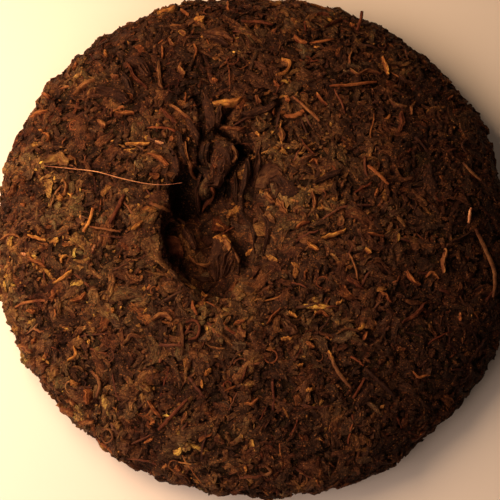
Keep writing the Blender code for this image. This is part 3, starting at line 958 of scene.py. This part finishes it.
def eased(values):
    """Random values evened out along their first axis."""
    for _ in range(2):
        values = np.concatenate([values[:1], (values[:-2] + 2 * values[1:-1] + values[2:]) / 4, values[-1:]])
    return values


def bridged(line):
    """A loose stem's line, which falls gently where the surface under it falls away."""
    for k in range(1, len(line)):
        step = np.linalg.norm(line[k, :2] - line[k - 1, :2])
        line[k, 2] = max(line[k, 2], line[k - 1, 2] - LEAST_FALL * step)
    return line


def lay_leaves(name, random, rows=18, columns=9):
    """The listed leaves, as one object: strips with a rounded back and folds along it."""
    pieces, colours, fibres = [], [], []
    v = np.linspace(-1, 1, columns)[None]
    for leaf in LEAVES:
        line = route_line(leaf.route, rows)
        ahead = unit(np.gradient(line, axis=0))
        side = np.stack([-ahead[:, 1], ahead[:, 0]], axis=1)
        ragged = eased(random.uniform(0.6, 1.3, (rows, 2)))
        ragged = np.where(v < 0, ragged[:, :1], ragged[:, 1:])
        half = leaf.width / 2 * end_taper(leaf.ends, rows)[:, None] * ragged
        wander = eased(random.normal(0, 0.12, (rows, 1))) * leaf.width
        drawn = line[:, None] + (v * half + wander)[..., None] * side[:, None]
        base, up = SKIN.top(drawn[..., 0], drawn[..., 1])
        u = np.linspace(0, 1, rows)[:, None]
        folds = random.uniform(0.9, 1.4) * (1 + leaf.width / (16 * MM)) * v
        folds = folds + random.uniform(-0.5, 0.5) * u + random.random()
        fold_height = min(0.1 * leaf.width, 0.5 * MM, 0.6 * leaf.crown)
        z = leaf.crown * (1 - v * v) + fold_height * np.cos(2 * math.pi * folds)
        z = z + eased(random.normal(0, 0.12 * MM, half.shape))
        edge = np.abs(v) > 0.99
        z = z + leaf.lift - (0.7 * MM + 0.5 * leaf.lift) * edge
        points = base + up * z[..., None]
        rises = relief(points, up) - leaf.loose * crack_relief(points)
        points = points + up * rises[..., None]
        pieces.append(points.reshape(-1, 3))
        # Painted shade along each leaf's edges, where they dip, times tone that varies along it and fades
        # from its brighter end
        shade = (0.35 + 0.65 * (1 - np.abs(v) ** 3)) * eased(random.uniform(0.1, 1.8, half.shape))
        shade = shade * (1 - random.uniform(0.0, 0.45) * u)
        colours.append(toned(shade.ravel()) * HAND_COLOURS[leaf.colour])
        along = np.linspace(0, np.linalg.norm(np.diff(line, axis=0), axis=1).sum(), rows)
        across = np.broadcast_to(v * half, half.shape)
        fibre = np.stack([np.broadcast_to(along[:, None], half.shape), across], axis=2) / MM
        fibres.append(fibre.reshape(-1, 2) + random.uniform(*FIBRE_OFFSETS, 2))
    points = np.array(pieces)
    points[..., 2] = np.minimum(points[..., 2], HIGHEST)
    faces, atlas = sheet_template(rows, columns)
    return make_piece(name, points, faces, np.array(colours), atlas, np.array(fibres))


def lay_stems(name, random, rings=16, sides=6):
    """The listed stems, as one object."""
    lines, ups, radii, colours = [], [], [], []
    for stem in STEMS:
        line = route_line(stem.route, rings)
        wander = random.normal(0, 0.06, (rings, 2)) * stem.width
        base, up = SKIN.top(line[:, 0] + wander[:, 0], line[:, 1] + wander[:, 1])
        lifted = base + up * stem.lift
        if stem.loose:
            lifted = bridged(np.c_[line, lifted[:, 2]])
            up = np.tile((0.0, 0.0, 1.0), (rings, 1))
        else:
            lifted = lifted + up * relief(lifted, up)[:, None]
        lines.append(lifted)
        ups.append(up)
        taper = end_taper(stem.ends, rings)[:, None]
        radii.append(stem.width / 2 * taper * random.uniform(0.88, 1.1, (rings, sides)))
        # Each stem is darker towards both ends
        darker_ends = 0.6 + 0.4 * end_taper((0, 0), rings)
        shade = darker_ends[:, None] * eased(random.uniform(0.55, 1.4, (rings, sides)))
        colours.append(toned(shade.ravel()) * HAND_COLOURS[stem.colour])
    lines, ups = np.array(lines), np.array(ups)
    twist = random.uniform(0, 6.3, (len(lines), 1)) + np.zeros((1, rings))
    points = tube_points(lines, ups, np.array(radii), 0.9, twist)
    points[..., 2] = np.minimum(points[..., 2], HIGHEST)
    faces, atlas = tube_template(rings, sides)
    lengths = np.linalg.norm(np.diff(lines, axis=1), axis=2).sum(axis=1) / MM
    walked = np.repeat(np.linspace(0, 1, rings)[None] * lengths[:, None], sides, axis=1)
    round_it = np.tile(np.linspace(0, 4, sides, endpoint=False), (len(lines), rings))
    fibre = np.stack([walked, round_it], axis=2) + random.uniform(*FIBRE_OFFSETS, (len(lines), 1, 2))
    return make_piece(name, points, faces, np.array(colours), atlas, fibre)


# ---------------------------------------------------------------- core

def make_core():
    """The cake under its loose pieces: the solid drawn in a little, with leaf-like relief and painted shade
    in its gaps and hollows.
    """
    mesh = remeshed_cake("tea_core", CORE_FACE)
    corners, normals, _ = mesh_arrays(mesh)
    sunk = np.zeros(len(corners))
    shades = np.zeros(len(corners))
    for k, (corner, normal) in enumerate(zip(corners.tolist(), normals.tolist())):
        point = Vector(corner)
        wander = noise.noise_vector(point / (5 * MM)) * 1.6 * MM
        distances, _ = noise.voronoi((point + wander) / (3.2 * MM))
        gap = min((distances[1] - distances[0]) / 0.35, 1.0)
        fine = noise.noise(point / (1.3 * MM))
        swell = noise.noise(point / (2.6 * MM) + Vector((9, 2, 4)))
        sunk[k] = 0.55 * MM * (1 - gap) - 0.3 * MM * fine - 0.35 * MM * swell
        # Painted shade: darker in the gaps between cells and where the fine relief sinks
        shades[k] = 0.5 + 0.35 * gap + 0.3 * fine
    free = np.clip(corners[:, 2] / (1.2 * MM), 0, 1)
    rises = relief(corners, normals)
    drawn_in = CORE_INSET * np.maximum(free, 0.6) + sunk * free
    corners = corners + normals * (rises - drawn_in)[:, None]
    corners[:, 2] = np.maximum(corners[:, 2], 0.3 * MM)
    mesh.vertices.foreach_set("co", corners.ravel())
    # Painted shade where the core is sunk
    add_tint(mesh, toned(np.clip(shades, 0.2, 1.2) * painted_relief_shade(rises)) * CORE_COLOUR)
    lay_core_map(mesh, corners)
    mesh.shade_smooth()
    core = bpy.data.objects.new("tea_core", mesh)
    bpy.context.scene.collection.objects.link(core)
    return core


def lay_core_map(mesh, corners):
    """Bake and fibre maps of the core: its upper side left, its underside right."""
    radius = np.hypot(corners[:, 0], corners[:, 1])
    span = 2.12 * radius.max()
    flat = corners[:, :2] / span
    loops = fetched(mesh.loops, "vertex_index", kind=int)
    totals = fetched(mesh.polygons, "loop_total", kind=int)
    under = np.repeat(fetched(mesh.polygon_normals, "vector", 3)[:, 2] < 0, totals)
    place = flat[loops] * 0.5
    place[:, 0] += np.where(under, 0.75, 0.25)
    place[:, 1] += 0.5
    add_map(mesh, "OFBake", place)
    add_map(mesh, "fibre", corners[loops, :2] / MM)


# ---------------------------------------------------------------- materials

def add_node(tree, kind, inputs, **settings):
    """A shader node with its settings and its inputs."""
    node = tree.nodes.new("ShaderNode" + kind)
    for name, value in settings.items():
        setattr(node, name, value)
    set_inputs(tree, node, inputs)
    return node


def set_inputs(tree, node, inputs):
    """Set the node's inputs, each to a value, or linked to another node's output."""
    for name, value in inputs.items():
        if isinstance(value, bpy.types.NodeSocket):
            tree.links.new(value, node.inputs[name])
        else:
            node.inputs[name].default_value = value


def noise_value(tree, place, scale, detail, roughness=0.55):
    inputs = {"Scale": scale, "Detail": detail, "Roughness": roughness, "Vector": place}
    return add_node(tree, "TexNoise", inputs).outputs["Fac"]


def mapped(tree, value, low, high, to_low, to_high):
    """The value, moved from one range to another and held inside it."""
    ends = {"From Min": low, "From Max": high, "To Min": to_low, "To Max": to_high}
    return add_node(tree, "MapRange", {"Value": value, **ends}).outputs["Result"]


def calculated(tree, operation, first, second):
    """The sum or the product of a value and another value or a number."""
    return add_node(tree, "Math", {0: first, 1: second}, operation=operation).outputs["Value"]


def creases_of(tree, stretched, wrinkles, depth):
    """Fine creases between cells that wander with the wrinkles."""
    wandering = add_node(tree, "VectorMath", {0: stretched, 1: wrinkles}, operation="ADD")
    cells = add_node(tree, "TexVoronoi", {"Scale": 1.1, "Vector": wandering.outputs["Vector"]},
                     voronoi_dimensions="2D", feature="DISTANCE_TO_EDGE")
    return mapped(tree, cells.outputs["Distance"], 0.0, 0.13, -depth, 0.1 * depth)


def tea_material(name, roughness, bump_depth, fibre_scale, specks=0.75, contrast=0.8, yellow=1.85,
                 crumbly=0.45, crease=0.0):
    """Dry pressed leaf: the piece's own tint, mottled and dusted with specks of paler leaf,
    with wrinkles and fine creases along its length and a crumbly grain, and painted shade that makes
    the tint darker where these are low and lighter where they are high. bump_depth is how deep
    these are, fibre_scale how close the wrinkles are along and across, contrast how much
    lighter and darker the painted shade and the mottling make the tint, yellow how much yellower the
    lighter leaf is, crumbly the grain's share, and crease how deep the creases are against the rest."""
    material = bpy.data.materials.new(name)
    material.use_nodes = True
    tree = material.node_tree
    tint = add_node(tree, "VertexColor", {}, layer_name="tint").outputs["Color"]
    place = add_node(tree, "TexCoord", {}).outputs["Object"]
    fibre = add_node(tree, "UVMap", {}, uv_map="fibre").outputs["UV"]
    stretch = {"Scale": (*fibre_scale, 1.0), "Vector": fibre}
    stretched = add_node(tree, "Mapping", stretch).outputs["Vector"]
    wrinkles = noise_value(tree, stretched, 1.0, 4.0, 0.65)
    grain = noise_value(tree, place, 1400.0, 4.0, 0.85)
    blotch = noise_value(tree, place, 420.0, 3.0)
    speck = noise_value(tree, place, 1900.0, 1.0)

    height = calculated(tree, "ADD", calculated(tree, "MULTIPLY", wrinkles, 1 - crumbly),
                        calculated(tree, "MULTIPLY", grain, crumbly))
    if crease:
        height = calculated(tree, "ADD", height, creases_of(tree, stretched, wrinkles, crease))
    # Painted shade: the tint darker where the wrinkles, creases and grain are low and lighter where they are
    # high, with the blotches' tone
    shade = calculated(tree, "ADD", mapped(tree, height, 0.36, 0.64, 0.0, 0.65),
                       mapped(tree, blotch, 0.35, 0.65, 0.0, 0.35))
    shade_and_tone_mix = add_node(tree, "Mix", {}, data_type="RGBA")
    set_inputs(tree, shade_and_tone_mix, {
        "A": (1 - contrast, 1 - 1.25 * contrast, 1 - 1.15 * contrast, 1.0),
        "B": (1 + contrast, 1 + yellow * contrast, 1 + 1.3 * contrast, 1.0),
        "Factor": shade,
    })
    shaded_tint = add_node(tree, "VectorMath", {0: tint, 1: shade_and_tone_mix.outputs["Result"]}, operation="MULTIPLY")
    pale = add_node(tree, "VectorMath", {0: tint, 1: SPECKLE}, operation="ADD")
    specked = calculated(tree, "MULTIPLY", mapped(tree, speck, 0.58, 0.72, 0.0, specks),
                         mapped(tree, blotch, 0.44, 0.58, 0.15, 1.0))
    dusted = add_node(tree, "Mix", {}, data_type="RGBA")
    set_inputs(tree, dusted, {
        "A": shaded_tint.outputs["Vector"], "B": pale.outputs["Vector"], "Factor": specked,
    })
    bump = add_node(tree, "Bump", {"Strength": 1.0, "Distance": bump_depth, "Height": height})
    set_inputs(tree, tree.nodes["Principled BSDF"], {
        "Base Color": dusted.outputs["Result"],
        "Roughness": mapped(tree, blotch, 0.3, 0.7, roughness - 0.12, roughness + 0.12),
        "Normal": bump.outputs["Normal"],
        "Specular IOR Level": 0.2,
        "Specular Tint": (1.0, 0.62, 0.4, 1.0),
    })
    return material


def finish_piece(piece, material):
    piece.data.materials.clear()
    piece.data.materials.append(material)
    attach(piece, "root")
    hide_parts("tea_cake")


# ---------------------------------------------------------------- the cake

def make_cake():
    crumbly_look = {"specks": 0.6, "crumbly": 0.6, "crease": 0.16}
    woody_look = {"specks": 0.2, "contrast": 0.7, "yellow": 1.15}
    leaf = tea_material("leaf", 0.68, 0.95 * MM, (0.35, 1.1), **crumbly_look)
    smooth_leaf = tea_material("smooth_leaf", 0.66, 1.0 * MM, (0.25, 1.3), specks=0.4, yellow=1.25)
    shred = tea_material("shred", 0.7, 0.95 * MM, (0.35, 1.1), **crumbly_look)
    wood = tea_material("stem", 0.65, 0.5 * MM, (0.25, 1.6), **woody_look)
    bud = tea_material("bud", 0.68, 0.6 * MM, (0.4, 2.4), **woody_look)
    core = tea_material("core", 0.8, 1.5 * MM, (1.1, 1.4), crease=0.16)
    finish_piece(make_core(), core)

    random = np.random.default_rng(SEED)
    finish_piece(lay_flakes(
        "broad_flakes", random, SKIN.spots(random, 1350),
        (9, 8, mm(5, 14), mm(3, 6.2), 0.27 * MM, 0.7 * MM), mm(-0.5, 0.1), math.radians(4.5),
        {"dark": 0.93, "red": 0.04, "grey": 0.03}), leaf)
    finish_piece(lay_flakes(
        "small_flakes", random, SKIN.spots(random, 3350),
        (6, 5, mm(2.6, 7), mm(1.3, 3.4), 0.17 * MM, 0.6 * MM), mm(-0.4, 0.25), math.radians(8),
        {"dark": 0.88, "red": 0.05, "grey": 0.03, "tan": 0.04}), shred)
    finish_piece(lay_tubes(
        "rolled_leaves", random, thinned(random, SKIN.spots(random, 1850), 0.3), 9, 6,
        rolled_line(mm(4.5, 14), 0.085), creased_radius(mm(1.4, 3.1), 0.25, 0.5),
        mm(-0.75, -0.12), 0.1, 0.56,
        {"dark": 0.91, "red": 0.04, "grey": 0.03, "tan": 0.02}), leaf)
    finish_piece(lay_flakes(
        "loose_leaves", random, left_loose(SKIN.spots(random, 4000)),
        (7, 6, mm(3.4, 9), mm(2.2, 4.8), 0.35 * MM, 1.0 * MM), mm(-0.4, 0.7), math.radians(8),
        {"dark": 0.86, "red": 0.06, "grey": 0.03, "tan": 0.05}, proud=0.6 * MM), leaf)
    finish_piece(lay_tubes(
        "stems", random, thinned(random, SKIN.spots(random, 420), 0.1), 7, 6,
        rolled_line(mm(4, 13), 0.05), stem_radius(mm(0.5, 1.2)), mm(-0.4, 0.15), 0.3, 0.9,
        {"dark": 0.68, "red": 0.2, "tan": 0.12}), wood)
    finish_piece(lay_tubes(
        "golden_buds", random, thinned(random, SKIN.spots(random, 110), 0.2), 7, 6,
        rolled_line(mm(2.4, 6), 0.12), creased_radius(mm(0.7, 1.6), 0.2, 0.5),
        mm(-0.4, 0.15), 0.1, 0.6,
        {"tan": 0.75, "gold": 0.25}), bud)
    finish_piece(lay_tubes(
        "curls", random, thinned(random, SKIN.spots(random, 110), 0.1), 14, 4, curl_line,
        stem_radius(mm(0.35, 0.7)), mm(-0.15, 0.2), 0.0, 0.8,
        {"dark": 0.6, "red": 0.25, "tan": 0.15}), bud)
    finish_piece(lay_leaves("placed_leaves", random), smooth_leaf)
    finish_piece(lay_stems("placed_stems", random), wood)
    finish_piece(lay_crumbs(
        "crumbs", random, thinned(random, SKIN.spots(random, 12000), 0.6), mm(0.6, 2.1),
        {"dark": 0.84, "red": 0.1, "tan": 0.06}), shred)


make_cake()


# ---------------------------------------------------------------- stage, light and camera

FLOOR_SIZE = 4.0
LIGHTS_TARGET = (-0.02, 0, 0)
KEY_COLOUR = (1.0, 0.81, 0.59)
FILL_COLOUR = (1.0, 0.92, 0.9)
WORLD_COLOUR = (1.0, 0.93, 0.85)
# The camera's tilt from straight down, the way that it leans, and the spot that it looks at
CAMERA_TILT = math.radians(17.2)
CAMERA_HEADING = math.radians(-99.7)
CAMERA_TARGET = mm(-2.1, -5.8, 12)


def make_stage():
    bpy.ops.mesh.primitive_plane_add(size=FLOOR_SIZE)
    floor = bpy.context.active_object
    floor.name = "floor"
    material = bpy.data.materials.new("floor")
    material.use_nodes = True
    shader = material.node_tree.nodes["Principled BSDF"]
    shader.inputs["Base Color"].default_value = (*linear(242, 212, 188), 1.0)
    shader.inputs["Roughness"].default_value = 0.85
    floor.data.materials.append(material)


def make_light(name, place, target, size, power, colour):
    light = bpy.data.lights.new(name, "AREA")
    light.shape = "DISK"
    light.size = size
    light.energy = power
    light.color = colour
    lamp = bpy.data.objects.new(name, light)
    lamp.location = place
    lamp.rotation_euler = (Vector(target) - Vector(place)).to_track_quat("-Z", "Y").to_euler()
    lamp.visible_camera = False
    bpy.context.scene.collection.objects.link(lamp)


def make_world(colour, strength):
    world = bpy.data.worlds.new("studio")
    world.use_nodes = True
    background = world.node_tree.nodes["Background"]
    background.inputs["Color"].default_value = (*colour, 1.0)
    background.inputs["Strength"].default_value = strength
    bpy.context.scene.world = world


def make_camera(tilt, heading, target, distance, lens):
    """A camera tilted from straight down, with the far side of the cake up in its view."""
    back = Vector((
        math.sin(tilt) * math.cos(heading), math.sin(tilt) * math.sin(heading), math.cos(tilt)))
    right = Vector((0, 1, 0)).cross(back).normalized()
    up = back.cross(right)
    place = Vector(target) + distance * back
    lens_data = bpy.data.cameras.new("camera")
    lens_data.lens = lens
    lens_data.sensor_width = 36
    camera = bpy.data.objects.new("camera", lens_data)
    turn = Matrix((right, up, back)).transposed().to_4x4()
    camera.matrix_world = Matrix.Translation(place) @ turn
    bpy.context.scene.collection.objects.link(camera)
    bpy.context.scene.camera = camera


make_stage()
make_world(WORLD_COLOUR, strength=0.085)
make_light("key", (-0.21, 0.06, 0.2), LIGHTS_TARGET, size=0.32, power=1.62, colour=KEY_COLOUR)
make_light("fill", (-0.19, -0.2, 0.19), LIGHTS_TARGET, size=0.3, power=0.6, colour=FILL_COLOUR)
make_camera(CAMERA_TILT, CAMERA_HEADING, CAMERA_TARGET, distance=0.6, lens=115.5)
bpy.context.scene.view_settings.view_transform = "Standard"
